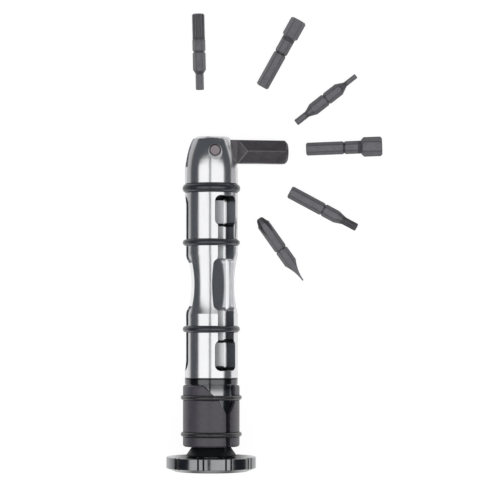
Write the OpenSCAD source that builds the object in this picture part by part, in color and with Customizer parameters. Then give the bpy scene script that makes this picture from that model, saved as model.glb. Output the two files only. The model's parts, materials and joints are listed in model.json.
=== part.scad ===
// Handlebar-end multi-tool lying on a bench, with its six double-ended bits taken out beside it.
// Sizes are in millimetres. The tool is drawn standing on its knob, from z = 0 at the knob's
// end face, and is then laid on the bench, where it rests on its knob, its head ring and its driver.
// Azimuths round the tool count from the upper end of the pivot pin towards the driver.

/* [Handle] */
// Diameter of the barrel
barrel_d = 18.1; // [17.4:0.1:20]
// Length of the barrel, from its lower face to the flat top of its head
barrel_len = 83; // [80:0.5:100]
// Length of the rounded head
head_len = 12.2; // [11:0.1:14]
// Radius of the long curve that draws the head in
head_curve_r = 28; // [25:0.5:40]
// Radius of the edge round the flat top of the head
head_edge_r = 1.8; // [1:0.1:2.4]
// Diameter of the waist at its middle
waist_d = 15.6; // [14.6:0.1:16.6]
// Radius of the long curve that draws the waist in
waist_curve_r = 41; // [30:0.5:44]
// Height of the middle of the waist above the barrel's lower face
waist_at = 32; // [30:0.1:34]

/* [Bit channels] */
// Width of a channel
channel_w = 6.8; // [5.4:0.1:7.4]
// Height of a channel's floor above the barrel axis
channel_floor = 3.9; // [3.5:0.1:4.6]
// Radius between the floor and the walls of a channel or pocket
channel_fillet_r = 1.4; // [0.8:0.1:1.6]
// Length of a channel
channel_len = 60; // [54:0.5:60]
// Wall between the barrel's lower face and the channels
channel_wall = 2.5; // [2:0.1:3]
// Width of the pockets for wide bit heads
pocket_w = 8.7; // [8:0.1:10]
// Height of a pocket's floor above the barrel axis
pocket_floor = 2.95; // [2.8:0.05:3.4]
// Length of a pocket
pocket_len = 10.3; // [9:0.1:11]
// Radius of a pocket's corners
pocket_corner_r = 2; // [1:0.1:3]
// Width of the finger scoops in the waist
scoop_w = 9; // [8:0.1:9.4]
// Length of the finger scoops
scoop_len = 18; // [15:0.5:19]

/* [Handle rings] */
// Thickness of the rubber of the head ring
head_ring_t = 3.1; // [2.2:0.1:3.4]
// Outer diameter of the head ring
head_ring_d = 20; // [19:0.1:21.5]
// Distance of the head ring below the top of the head
head_ring_drop = 17.8; // [16.5:0.1:18.4]
// Thickness of the rubber of the two rings that hold the bits
bit_ring_t = 2.2; // [1.8:0.1:2.6]
// Outer diameter of the two rings that hold the bits
bit_ring_d = 19.8; // [19:0.1:21]
// Height of the upper bit ring above the barrel's lower face
upper_ring_at = 46.5; // [45:0.1:48]
// Height of the lower bit ring above the barrel's lower face
lower_ring_at = 16.7; // [15:0.1:18]

/* [Driver] */
// Hexagon size of the driver across its flats
driver_af = 8; // [7:0.5:8]
// Length of the driver from its pivot to its tip
driver_len = 26.6; // [24:0.1:32]
// Distance of the pivot below the top of the head
pivot_drop = 5; // [4.4:0.1:5.6]
// Diameter of the pivot pin
pin_d = 3.4; // [2.8:0.1:4]
// Diameter of the countersinks at the ends of the pin
pin_sink_d = 5; // [4.4:0.1:5.4]
// Thickness of the driver's flat tongue
tongue_t = 4.3; // [3.6:0.1:4.8]
// Depth of the fork below the pivot
fork_depth = 5.5; // [5:0.1:6]
// Depth of the bit socket
socket_depth = 12; // [9:0.5:12]
// Diameter of the magnet at the bottom of the socket
magnet_d = 3.8; // [3:0.1:4]
// Thickness of the magnet
magnet_t = 2; // [1:0.1:2.5]

/* [Expander] */
// Diameter of the split sleeve
sleeve_d = 19.5; // [18.8:0.1:21]
// Length of the split sleeve
sleeve_len = 21.1; // [20:0.1:24]
// Width of the slit in the sleeve
slit_w = 1.8; // [1.2:0.1:2.2]
// Bore of the sleeve between its two tapers
sleeve_bore_d = 12.6; // [11.6:0.1:13.4]
// Thickness of the rubber of the sleeve rings
sleeve_ring_t = 1.7; // [1.3:0.1:1.9]
// Outer diameter of the sleeve rings
sleeve_ring_d = 21.1; // [20.8:0.1:22.5]
// Height of the lower sleeve ring above the sleeve's lower face
sleeve_ring_low = 4.2; // [3.5:0.1:5]
// Height of the upper sleeve ring above the sleeve's lower face
sleeve_ring_high = 16.8; // [16:0.1:17.5]
// Height of the wedge collar's flange
collar_h = 2.5; // [2:0.1:3.5]
// Half angle of the lower cone
cone_angle = 35; // [28:1:38]
// Diameter of the lower cone's foot
cone_foot_d = 17.2; // [16:0.1:18]

/* [Knob] */
// Diameter of the knob
knob_d = 30.8; // [28:0.1:34]
// Thickness of the knob
knob_h = 5; // [4.8:0.1:7]
// Width of the chamfer round the knob's end face
knob_chamfer_w = 2.8; // [1.5:0.1:3.5]
// Height of that chamfer
knob_chamfer_h = 1.15; // [0.8:0.05:2.2]
// Number of grip marks round the rim
grip_count = 10; // [6:1:14]
// Distance between the two grooves of a grip mark
grip_pitch = 1.9; // [1.2:0.1:2.6]
// Gap between the knob and the sleeve when the knob is slack
slack_gap = 3.5; // [2.8:0.1:4.5]
// Travel of the knob from slack to tight
knob_travel = 1.4; // [0.7:0.1:1.6]
// Diameter of the draw screw
screw_d = 4; // [3:0.1:4]

/* [Bits] */
// Hexagon size of the bit shanks across their flats
bit_af = 4; // [3.6:0.1:4]
// Length of a bit
bit_len = 26.5; // [24:0.5:28]
// Length of the wide hexagon head of a bit
bit_head_len = 7.3; // [6:0.1:8]

/* [Bench layout] */
// Place of the driver's pivot across the bench
pivot_x = -22; // [-40:0.1:0]
// Place of the driver's pivot along the bench
pivot_y = 31.4; // [0:0.1:60]

/* [Hidden] */
$fn = 96;
eps = 0.01;

// Clearances
seat_gap = 0.02;
running_gap = 0.05;
fork_gap = 0.1;
moving_gap = 0.2;

// Levels along the tool, from the knob's end face
barrel_r = barrel_d / 2;
knob_r = knob_d / 2;
sleeve_base = knob_h + slack_gap;
sleeve_top = sleeve_base + sleeve_len;
barrel_base = sleeve_top + collar_h;
barrel_top = barrel_base + barrel_len;
head_base = barrel_top - head_len;
pivot_s = barrel_top - pivot_drop;
channel_base = barrel_base + channel_wall;
channel_top = channel_base + channel_len;
waist_s = barrel_base + waist_at;

// Driver
fork_w = tongue_t + 2 * fork_gap;
corner_ease = 0.975;
driver_corner_r = corner_ease * driver_af / sqrt(3);
driver_tip_chamfer = 1.2;
driver_inset = 0.3;
driver_shoulder = barrel_r - driver_inset;
driver_ramp = 3;
pin_recess = 0.6;

// How the tool lies: its knob and head ring set the tilt, and the driver's tip sets the roll
knob_edge = 0.25;
head_ring_s = barrel_top - head_ring_drop;
head_ring_mid_r = (head_ring_d - head_ring_t) / 2;
rest_run = head_ring_s - (knob_h - knob_edge);
rest_rise = knob_r - head_ring_mid_r;
tilt = atan2(rest_rise, rest_run) - asin(head_ring_t / 2 / norm([rest_run, rest_rise]));
pivot_z = knob_r * cos(tilt) - (pivot_s - knob_h + knob_edge) * sin(tilt);
tip_edge = driver_len - driver_tip_chamfer;
roll = asin(pivot_z / cos(tilt) / norm([tip_edge, driver_corner_r])) - atan2(driver_corner_r, tip_edge);

// Azimuths of the channels, and of the sleeve's slit below the channel that has the pockets
pocket_azimuth = 27;
channel_azimuths = [pocket_azimuth, pocket_azimuth + 120, pocket_azimuth - 120];

// Expander
collar_step = 0.05;
collar_r = barrel_r + collar_step;
collar_spigot_r = 5;
collar_spigot_h = 1.5;
collar_line_w = 0.35;
collar_line_depth = 0.3;
wedge_len = 9.2;
wedge_top_r = 7.9;
wedge_tip_r = 6;
wedge_gap = 0.25;
sleeve_edge = 0.5;
sleeve_mouth_h = 2;
tongue_r = (sleeve_ring_d - 2 * sleeve_ring_t) / 2 - moving_gap;
cone_foot_s = knob_h + moving_gap;
cone_foot_h = 0.4;
cone_edge = 0.2;
cone_len = 5.6;
cone_key_inset = 0.4;
cone_slope = tan(cone_angle);
screw_r = screw_d / 2;
screw_hold = 9.4;
screw_top = barrel_base + screw_hold;
screw_bore_spare = 0.8;
screw_head_af = 7;
screw_head_h = 2.4;
screw_head_s = 2;
washer_r = 5.2;
washer_t = 0.8;

// Outline of the sleeve's notch across its slit: distance from the slit, then level
notch_apex = sleeve_base + 11.3;
notch_shoulder = sleeve_base + 15.4;
notch_half = 3.2;
notch_ramp = 8;
notch_lip = 0.1;
notch_least = 0.2;
function notch_outline(gap) = [
    [max(slit_w / 2 - gap, notch_least), notch_apex + 2 * gap],
    [notch_half - gap, notch_shoulder + gap],
    [notch_half - gap, sleeve_top + eps],
    [-notch_ramp + gap, sleeve_top + eps],
    [-notch_ramp + gap, sleeve_top - notch_lip],
    [-notch_half + 2 * gap, notch_shoulder + gap],
    [-max(slit_w / 2 - gap, notch_least), notch_apex + 2 * gap]
];

// Bits: near end of each from the pivot, across and along the bench, and heading of its far end
bit_spots = [
    [-4.1, 21.5, 91.3],
    [17.5, 22.6, 60.9],
    [29.4, 10.1, 38.0],
    [32.9, 0.9, 2.2],
    [27.2, -13.9, -28.2],
    [16.5, -23.2, -54.7]
];
bit_corner_r = corner_ease * bit_af / sqrt(3);
bit_chamfer = 0.45;
bit_groove_w = 0.5;
bit_groove_depth = 0.15;
bit_groove_r = bit_af / 2 - bit_groove_depth;
bit_lap = 0.2;
bit_head_chamfer = 0.9;
small_hex = 2.5;
small_hex_len = 5.6;
slim_hexes = [2, 1.5];
slim_hex_len = 4.8;
slim_taper = 3;
head_hexes = [5, 6];
six_lobe_large = [4.3, 3.1];
six_lobe_large_len = 9;
six_lobe_small = [2.74, 1.98];
six_lobe_small_len = 5.2;

// Lays what is drawn upright on its knob down on the bench
module on_bench() {
    translate([pivot_x, pivot_y, pivot_z])
        rotate([-90 - tilt, 0, 0])
            rotate([0, 0, roll])
                translate([0, 0, -pivot_s])
                    children();
}

// Turns +X to face an azimuth
module facing(azimuth) {
    rotate([0, 0, azimuth - 90])
        children();
}

module ring(outer_d, thickness, level) {
    translate([0, 0, level])
        rotate_extrude()
            translate([(outer_d - thickness) / 2, 0])
                circle(d = thickness);
}

module ring_groove(outer_d, thickness, level, reach) {
    floor_r = outer_d / 2 - thickness - seat_gap;
    width = thickness + 2 * seat_gap;
    translate([0, 0, level - width / 2])
        rotate_extrude()
            translate([floor_r, 0])
                square([reach - floor_r, width]);
}

// Slot drawn along X, with round corners
module round_slot(length, width, corner_r) {
    r = min(corner_r, width / 2 - eps);
    square([length - 2 * r, width], center = true);
    square([length, width - 2 * r], center = true);
    for (x = [-1, 1])
        for (y = [-1, 1])
            translate([x * (length / 2 - r), y * (width / 2 - r)])
                circle(r);
}

// Section of a milled cut, from its floor outwards, with a round on both sides of the floor
module cut_section(width) {
    r = channel_fillet_r;
    translate([r, -width / 2])
        square([barrel_r, width]);
    translate([0, r - width / 2])
        square([2 * r, width - 2 * r]);
    for (side = [-1, 1])
        translate([r, side * (width / 2 - r)])
            circle(r);
}

// Milled cut into the barrel from outside, down to a floor
module milled_cut(floor_r, width, low, high, corner_r) {
    translate([floor_r, 0, (low + high) / 2])
        intersection() {
            rotate([0, 90, 0])
                linear_extrude(barrel_r)
                    round_slot(high - low, width, corner_r);
            linear_extrude(high - low, center = true)
                cut_section(width);
        }
}

module barrel_outline() {
    curve_x = barrel_r - head_curve_r;
    inner_r = head_curve_r - head_edge_r;
    edge_s = barrel_top - head_edge_r;
    edge_x = curve_x + sqrt(pow(inner_r, 2) - pow(edge_s - head_base, 2));
    meet_s = head_base + (edge_s - head_base) * head_curve_r / inner_r;
    translate([0, barrel_base])
        square([barrel_r, head_base - barrel_base]);
    intersection() {
        translate([curve_x, head_base])
            circle(head_curve_r);
        translate([0, head_base - eps])
            square([barrel_r, meet_s - head_base + eps]);
    }
    translate([edge_x, edge_s])
        circle(head_edge_r);
    translate([0, meet_s - eps])
        square([edge_x, barrel_top - meet_s + eps]);
}

// Turned waist: a long hollow curve round the barrel
module waist_cut() {
    translate([0, 0, waist_s])
        rotate_extrude()
            intersection() {
                translate([waist_d / 2 + waist_curve_r, 0])
                    circle(waist_curve_r);
                translate([0, -waist_curve_r])
                    square([barrel_d, 2 * waist_curve_r]);
            }
}

module bit_channels() {
    scoop_low = waist_s - scoop_len / 2;
    for (azimuth = channel_azimuths)
        facing(azimuth) {
            milled_cut(channel_floor, channel_w, channel_base, channel_top, channel_w / 2);
            milled_cut(channel_floor, scoop_w, scoop_low, scoop_low + scoop_len, pocket_corner_r);
        }
    facing(pocket_azimuth) {
        milled_cut(pocket_floor, pocket_w, channel_base, channel_base + pocket_len, pocket_corner_r);
        milled_cut(pocket_floor, pocket_w, channel_top - pocket_len, channel_top, pocket_corner_r);
    }
}

// Fork for the driver's tongue, open on both sides, with its pin hole
module fork_cut() {
    translate([-barrel_d, -fork_w / 2, pivot_s - fork_depth])
        cube([2 * barrel_d, fork_w, fork_depth + pivot_drop + 1]);
    translate([0, 0, pivot_s])
        rotate([90, 0, 0])
            cylinder(r = pin_d / 2 + seat_gap, h = 2 * barrel_d, center = true);
    for (side = [-1, 1])
        translate([0, side * pin_half_len(), pivot_s])
            rotate([side * -90, 0, 0])
                translate([0, 0, -(pin_sink_d - pin_d) / 4])
                    cylinder(d1 = pin_d, d2 = pin_d + 2 * barrel_r, h = barrel_r);
}

// Half the length of the pin, whose ends lie a little below the head's surface
function pin_half_len() =
    barrel_r - head_curve_r + sqrt(pow(head_curve_r, 2) - pow(pivot_s - head_base, 2)) - pin_recess;

module handle_barrel() {
    color("gainsboro")
        on_bench()
            difference() {
                rotate_extrude()
                    barrel_outline();
                waist_cut();
                bit_channels();
                fork_cut();
                ring_groove(head_ring_d, head_ring_t, head_ring_s, barrel_r + 1);
                ring_groove(bit_ring_d, bit_ring_t, barrel_base + upper_ring_at, barrel_r + 1);
                ring_groove(bit_ring_d, bit_ring_t, barrel_base + lower_ring_at, barrel_r + 1);
                translate([0, 0, barrel_base - eps])
                    cylinder(r = collar_spigot_r + seat_gap, h = collar_spigot_h + seat_gap + eps);
                translate([0, 0, barrel_base])
                    cylinder(r = screw_r + running_gap, h = screw_hold + knob_travel + screw_bore_spare);
            }
}

module pivot_pin() {
    color("rosybrown")
        on_bench()
            translate([0, 0, pivot_s])
                rotate([90, 0, 0])
                    cylinder(d = pin_d, h = 2 * pin_half_len(), center = true);
}

module head_ring() {
    color("dimgray")
        on_bench()
            ring(head_ring_d, head_ring_t, head_ring_s);
}

module upper_bit_ring() {
    color("dimgray")
        on_bench()
            ring(bit_ring_d, bit_ring_t, barrel_base + upper_ring_at);
}

module lower_bit_ring() {
    color("dimgray")
        on_bench()
            ring(bit_ring_d, bit_ring_t, barrel_base + lower_ring_at);
}

// Cut square to an azimuth through the wall on that side, from an outline drawn across and up
module wall_cut(azimuth, from_r, to_r, outline) {
    facing(azimuth)
        rotate([90, 0, 90])
            translate([0, 0, from_r])
                linear_extrude(to_r - from_r)
                    polygon(outline);
}

// Wedge collar: flange, spigot in the barrel, and a taper with a tongue that fills the sleeve's notch
module wedge_collar() {
    color("black")
        on_bench()
            difference() {
                union() {
                    rotate_extrude()
                        polygon([
                            [0, sleeve_top - wedge_len],
                            [wedge_tip_r, sleeve_top - wedge_len],
                            [wedge_top_r, sleeve_top],
                            [collar_r - collar_line_depth, sleeve_top],
                            [collar_r - collar_line_depth, sleeve_top + collar_line_w],
                            [collar_r, sleeve_top + collar_line_w],
                            [collar_r, barrel_base],
                            [collar_spigot_r, barrel_base],
                            [collar_spigot_r, barrel_base + collar_spigot_h],
                            [0, barrel_base + collar_spigot_h]
                        ]);
                    intersection() {
                        wall_cut(pocket_azimuth, 0, sleeve_d / 2, notch_outline(wedge_gap));
                        cylinder(r = tongue_r, h = barrel_base);
                    }
                }
                cylinder(r = screw_r + running_gap, h = barrel_top);
            }
}

module expander_sleeve() {
    mouth_r = sleeve_bore_d / 2 + sleeve_mouth_h * cone_slope;
    wedge_slope = (wedge_top_r - wedge_tip_r) / wedge_len;
    throat_s = sleeve_top - (wedge_top_r + wedge_gap - sleeve_bore_d / 2) / wedge_slope;
    color([0.16, 0.16, 0.17])
        on_bench()
            difference() {
                rotate_extrude()
                    polygon([
                        [mouth_r, sleeve_base],
                        [sleeve_d / 2 - sleeve_edge, sleeve_base],
                        [sleeve_d / 2, sleeve_base + sleeve_edge],
                        [sleeve_d / 2, sleeve_top - sleeve_edge],
                        [sleeve_d / 2 - sleeve_edge, sleeve_top],
                        [wedge_top_r + wedge_gap, sleeve_top],
                        [sleeve_bore_d / 2, throat_s],
                        [sleeve_bore_d / 2, sleeve_base + sleeve_mouth_h]
                    ]);
                wall_cut(pocket_azimuth, 0, knob_r, notch_outline(0));
                facing(pocket_azimuth)
                    translate([0, -slit_w / 2, sleeve_base - 1])
                        cube([knob_r, slit_w, notch_apex - sleeve_base + 1 + eps]);
                ring_groove(sleeve_ring_d, sleeve_ring_t, sleeve_base + sleeve_ring_high, knob_r);
                ring_groove(sleeve_ring_d, sleeve_ring_t, sleeve_base + sleeve_ring_low, knob_r);
            }
}

module upper_sleeve_ring() {
    color([0.1, 0.1, 0.1])
        on_bench()
            ring(sleeve_ring_d, sleeve_ring_t, sleeve_base + sleeve_ring_high);
}

module lower_sleeve_ring() {
    color([0.1, 0.1, 0.1])
        on_bench()
            ring(sleeve_ring_d, sleeve_ring_t, sleeve_base + sleeve_ring_low);
}

// Puts what is drawn with +Z along the driver, +X along its pin, at the pivot with the driver out sideways
module along_driver() {
    translate([0, 0, pivot_s])
        rotate([0, 90, 0])
            rotate([0, 0, 90])
                children();
}

module hex_prism(across_flats, length) {
    linear_extrude(length)
        circle(d = across_flats * 2 / sqrt(3), $fn = 6);
}

// Hexagon bar with a round-ended tongue, a chamfered tip, a hexagon socket and a magnet seat
module driver() {
    tongue_half = tongue_t / 2;
    color([0.3, 0.3, 0.33])
        on_bench()
            along_driver()
                difference() {
                    intersection() {
                        translate([0, 0, -driver_af / 2])
                            hex_prism(driver_af, driver_len + driver_af / 2);
                        rotate([90, 0, 90])
                            linear_extrude(2 * driver_af, center = true) {
                                circle(d = driver_af);
                                translate([-driver_af / 2, 0])
                                    square([driver_af, driver_len]);
                            }
                        rotate([90, 0, 0])
                            linear_extrude(2 * driver_af, center = true)
                                polygon([
                                    [-tongue_half, -driver_af],
                                    [tongue_half, -driver_af],
                                    [tongue_half, driver_shoulder],
                                    [driver_corner_r, driver_shoulder + driver_ramp],
                                    [driver_corner_r, driver_len],
                                    [-driver_corner_r, driver_len],
                                    [-driver_corner_r, driver_shoulder + driver_ramp],
                                    [-tongue_half, driver_shoulder]
                                ]);
                        rotate_extrude()
                            polygon([
                                [0, -driver_af],
                                [driver_corner_r, -driver_af],
                                [driver_corner_r, tip_edge],
                                [driver_corner_r - driver_tip_chamfer, driver_len],
                                [0, driver_len]
                            ]);
                    }
                    rotate([0, 90, 0])
                        cylinder(r = pin_d / 2 + running_gap, h = 2 * driver_af, center = true);
                    translate([0, 0, driver_len - socket_depth])
                        hex_prism(bit_af + 2 * running_gap, socket_depth + eps);
                    translate([0, 0, driver_len - socket_depth - magnet_t])
                        cylinder(r = magnet_d / 2 + seat_gap, h = magnet_t + eps);
                }
}

module socket_magnet() {
    color("silver")
        on_bench()
            along_driver()
                translate([0, 0, driver_len - socket_depth - magnet_t])
                    cylinder(d = magnet_d, h = magnet_t);
}

// Lower cone, kept from turning by a key in the sleeve's slit
module expander_cone() {
    cone_top_s = cone_foot_s + cone_foot_h + cone_len;
    top_r = cone_foot_d / 2 - cone_len * cone_slope;
    key_w = slit_w - 2 * moving_gap;
    color("black")
        on_bench()
            difference() {
                union() {
                    rotate_extrude()
                        polygon([
                            [0, cone_foot_s],
                            [cone_foot_d / 2 - cone_edge, cone_foot_s],
                            [cone_foot_d / 2, cone_foot_s + cone_edge],
                            [cone_foot_d / 2, cone_foot_s + cone_foot_h],
                            [top_r, cone_top_s],
                            [0, cone_top_s]
                        ]);
                    facing(pocket_azimuth)
                        translate([screw_d, -key_w / 2, cone_foot_s + cone_foot_h])
                            cube([cone_foot_d / 2 - cone_key_inset - screw_d, key_w, cone_len - moving_gap]);
                }
                cylinder(r = screw_r + running_gap, h = barrel_top);
                translate([0, 0, cone_foot_s - eps])
                    cylinder(r = washer_r + running_gap, h = washer_t - moving_gap + running_gap + eps);
            }
}

// Knob with pairs of grip grooves round its rim, moulded round the head of the draw screw
module knob() {
    groove_r = 0.28;
    groove_depth = 0.5;
    groove_run_in = 0.5;
    first_mark = 12.6;
    color("black")
        on_bench()
            difference() {
                rotate_extrude()
                    polygon([
                        [0, 0],
                        [knob_r - knob_chamfer_w, 0],
                        [knob_r, knob_chamfer_h],
                        [knob_r, knob_h - knob_edge],
                        [knob_r - knob_edge, knob_h],
                        [0, knob_h]
                    ]);
                for (mark = [0 : grip_count - 1])
                    for (side = [-1, 1])
                        facing(mark * 360 / grip_count + first_mark + side * asin(grip_pitch / 2 / knob_r))
                            translate([knob_r - groove_depth + groove_r, 0, knob_chamfer_h - groove_run_in])
                                linear_extrude(knob_h) {
                                    circle(groove_r);
                                    translate([0, -groove_r])
                                        square([1, 2 * groove_r]);
                                }
                translate([0, 0, screw_head_s])
                    hex_prism(screw_head_af + 2 * seat_gap, screw_head_h + seat_gap);
                translate([0, 0, screw_head_s])
                    cylinder(r = screw_r + seat_gap, h = knob_h);
            }
}

module draw_screw() {
    color("silver")
        on_bench() {
            translate([0, 0, screw_head_s])
                hex_prism(screw_head_af, screw_head_h);
            translate([0, 0, screw_head_s])
                cylinder(r = screw_r, h = screw_top - screw_head_s);
        }
}

module thrust_washer() {
    color("silver")
        on_bench()
            translate([0, 0, knob_h])
                difference() {
                    cylinder(r = washer_r, h = washer_t);
                    translate([0, 0, -eps])
                        cylinder(r = screw_r + running_gap, h = washer_t + 2 * eps);
                }
}

// Lays a bit, drawn standing on its near end, at its spot on the bench, with any raised far end
module lay_bit(index, raise = 0) {
    spot = bit_spots[index];
    translate([pivot_x + spot[0], pivot_y + spot[1], bit_af / 2 * cos(raise)])
        rotate([0, -raise, spot[2]])
            rotate([0, 90, 0])
                rotate([0, 0, 30])
                    children();
}

// Draws its children hanging from the far end of a bit
module at_far_end() {
    translate([0, 0, bit_len])
        mirror([0, 0, 1])
            children();
}

// Hexagon shank with its ring groove, turned down from its corners to a radius at each end
module hex_shank(low, high, low_r, low_len, high_r, high_len) {
    mid = bit_len / 2;
    intersection() {
        translate([0, 0, low])
            hex_prism(bit_af, high - low);
        rotate_extrude()
            polygon([
                [0, low],
                [low_r, low],
                [bit_corner_r, low + low_len],
                [bit_corner_r, mid - bit_groove_w],
                [bit_groove_r, mid],
                [bit_corner_r, mid + bit_groove_w],
                [bit_corner_r, high - high_len],
                [high_r, high],
                [0, high]
            ]);
    }
}

// Hexagon end with a turned chamfer at its tip and one towards its shank, from z = 0 up
module hex_end(across_flats, length, shank_chamfer) {
    corner_r = 0.985 * across_flats / sqrt(3);
    chamfer = 0.1 * across_flats;
    intersection() {
        hex_prism(across_flats, length);
        rotate_extrude()
            polygon([
                [0, 0],
                [corner_r - chamfer, 0],
                [corner_r, chamfer],
                [corner_r, length - shank_chamfer],
                [corner_r - shank_chamfer, length],
                [0, length]
            ]);
    }
}

// Six-lobe end with a turned chamfer, from z = 0 up
module six_lobe_end(diameters, length) {
    outer_r = diameters[0] / 2;
    inner_r = diameters[1] / 2;
    hollow_r = 0.44 * outer_r;
    chamfer = 0.2 * outer_r;
    difference() {
        rotate_extrude()
            polygon([
                [0, 0],
                [outer_r - chamfer, 0],
                [outer_r, chamfer],
                [outer_r, length],
                [0, length]
            ]);
        for (lobe = [0 : 5])
            rotate([0, 0, lobe * 60 + 30])
                translate([inner_r + hollow_r, 0, -eps])
                    cylinder(r = hollow_r, h = length + 2 * eps);
    }
}

// Pointed nose of a cross point, from z = 0 up
module cross_nose(length) {
    nose_r = 1.3;
    nose_edge = 0.5;
    rotate_extrude()
        polygon([
            [0, 0],
            [nose_r - nose_edge, 0],
            [nose_r, nose_edge],
            [bit_af / 2 - seat_gap, length],
            [0, length]
        ]);
}

// Four flutes of a cross point, which run out up the shank
module cross_flutes(length) {
    root_r = 0.5;
    flute_angle = atan((bit_corner_r - root_r) / length);
    for (flute = [0 : 3])
        rotate([0, 0, flute * 90 + 15])
            translate([root_r, 0, 0])
                rotate([0, flute_angle, 0])
                    translate([0, 0, -1])
                        linear_extrude(2 * length)
                            rotate(-45)
                                square(bit_af);
}

module bit_six_lobe_and_small_hex() {
    shoulder = 1.6;
    shank_end = bit_len - six_lobe_large_len + bit_lap;
    color([0.35, 0.35, 0.37])
        lay_bit(0) {
            hex_end(small_hex, small_hex_len, bit_lap);
            hex_shank(small_hex_len - bit_lap, shank_end, small_hex / 2, shoulder, bit_af / 2, bit_chamfer);
            at_far_end()
                six_lobe_end(six_lobe_large, six_lobe_large_len);
        }
}

// Shank with a wider hexagon head, which lifts its far end a little off the bench
module headed_bit(index, across_flats) {
    shank_len = bit_len - bit_head_len;
    lay_bit(index, atan((across_flats - bit_af) / 2 / shank_len)) {
        hex_shank(0, shank_len + bit_lap, bit_corner_r - bit_chamfer, bit_chamfer, bit_corner_r, bit_lap);
        at_far_end()
            hex_end(across_flats, bit_head_len, bit_head_chamfer);
    }
}

module bit_hex_5() {
    color([0.35, 0.35, 0.37])
        headed_bit(1, head_hexes[0]);
}

module bit_slim_hex() {
    shank_low = slim_hex_len - bit_lap;
    tip_rs = slim_hexes / 2;
    color([0.35, 0.35, 0.37])
        lay_bit(2) {
            hex_end(slim_hexes[0], slim_hex_len, bit_lap);
            hex_shank(shank_low, bit_len - shank_low, tip_rs[0], slim_taper, tip_rs[1], slim_taper);
            at_far_end()
                hex_end(slim_hexes[1], slim_hex_len, bit_lap);
        }
}

module bit_hex_6() {
    color([0.35, 0.35, 0.37])
        headed_bit(3, head_hexes[1]);
}

module bit_hex_and_six_lobe() {
    shank_end = bit_len - six_lobe_small_len + bit_lap;
    lobe_r = six_lobe_small[0] / 2;
    color([0.35, 0.35, 0.37])
        lay_bit(4) {
            hex_shank(0, shank_end, bit_corner_r - bit_chamfer, bit_chamfer, lobe_r, slim_taper);
            at_far_end()
                six_lobe_end(six_lobe_small, six_lobe_small_len);
        }
}

// Cross point at the near end, and a hollow-ground blade standing on edge at the far end
module bit_cross_and_blade() {
    nose_len = 2.4;
    flute_len = 8;
    blade_len = 7.5;
    blade_half_t = 0.25;
    shoulder = 0.3;
    nose_end_r = bit_corner_r - shoulder;
    hollow_r = (pow(blade_len, 2) + pow(bit_af / 2, 2)) / bit_af;
    steps = 10;
    ground_side = [
        for (step = [0 : steps])
            let (back = blade_len * step / steps)
                [blade_half_t + hollow_r - sqrt(pow(hollow_r, 2) - pow(back, 2)), bit_len - back]
    ];
    color([0.35, 0.35, 0.37])
        lay_bit(5)
            intersection() {
                difference() {
                    union() {
                        cross_nose(nose_len);
                        hex_shank(nose_len - bit_lap, bit_len, nose_end_r, shoulder, bit_corner_r, bit_lap);
                    }
                    cross_flutes(flute_len);
                }
                rotate([90, 0, 60])
                    linear_extrude(2 * bit_af, center = true)
                        polygon([
                            each ground_side,
                            [bit_af, bit_len - blade_len],
                            [bit_af, -1],
                            [-bit_af, -1],
                            [-bit_af, bit_len - blade_len],
                            for (step = [steps : -1 : 0])
                                [-ground_side[step][0], ground_side[step][1]]
                        ]);
            }
}

handle_barrel();
pivot_pin();
head_ring();
upper_bit_ring();
lower_bit_ring();
wedge_collar();
expander_sleeve();
upper_sleeve_ring();
lower_sleeve_ring();
driver();
socket_magnet();
expander_cone();
knob();
draw_screw();
thrust_washer();
bit_six_lobe_and_small_hex();
bit_hex_5();
bit_slim_hex();
bit_hex_6();
bit_hex_and_six_lobe();
bit_cross_and_blade();
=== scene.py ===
import json
import math

import bmesh
import bpy
from mathutils import Matrix, Vector
from mathutils.bvhtree import BVHTree
from mathutils.geometry import barycentric_transform


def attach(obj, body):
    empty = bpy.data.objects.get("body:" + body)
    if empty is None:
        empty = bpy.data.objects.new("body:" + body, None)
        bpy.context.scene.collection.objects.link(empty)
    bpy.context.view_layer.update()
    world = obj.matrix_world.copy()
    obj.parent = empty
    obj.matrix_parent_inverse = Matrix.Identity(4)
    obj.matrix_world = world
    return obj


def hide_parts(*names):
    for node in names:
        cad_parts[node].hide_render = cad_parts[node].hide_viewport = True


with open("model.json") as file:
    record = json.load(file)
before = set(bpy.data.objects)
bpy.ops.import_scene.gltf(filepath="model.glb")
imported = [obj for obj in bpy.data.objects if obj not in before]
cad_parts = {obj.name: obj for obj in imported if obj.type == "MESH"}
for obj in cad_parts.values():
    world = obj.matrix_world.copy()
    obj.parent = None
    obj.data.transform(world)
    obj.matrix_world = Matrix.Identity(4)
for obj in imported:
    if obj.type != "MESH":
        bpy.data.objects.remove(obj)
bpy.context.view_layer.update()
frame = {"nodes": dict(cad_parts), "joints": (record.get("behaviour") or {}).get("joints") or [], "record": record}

nodes = frame["nodes"]
record = frame["record"]
SLOT_OF = {part["node"]: part["material_slot"] for part in record["subparts"]}
BODY_OF = {name: body for body, names in record["behaviour"]["bodies"].items() for name in names}
MM = 0.001

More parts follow.
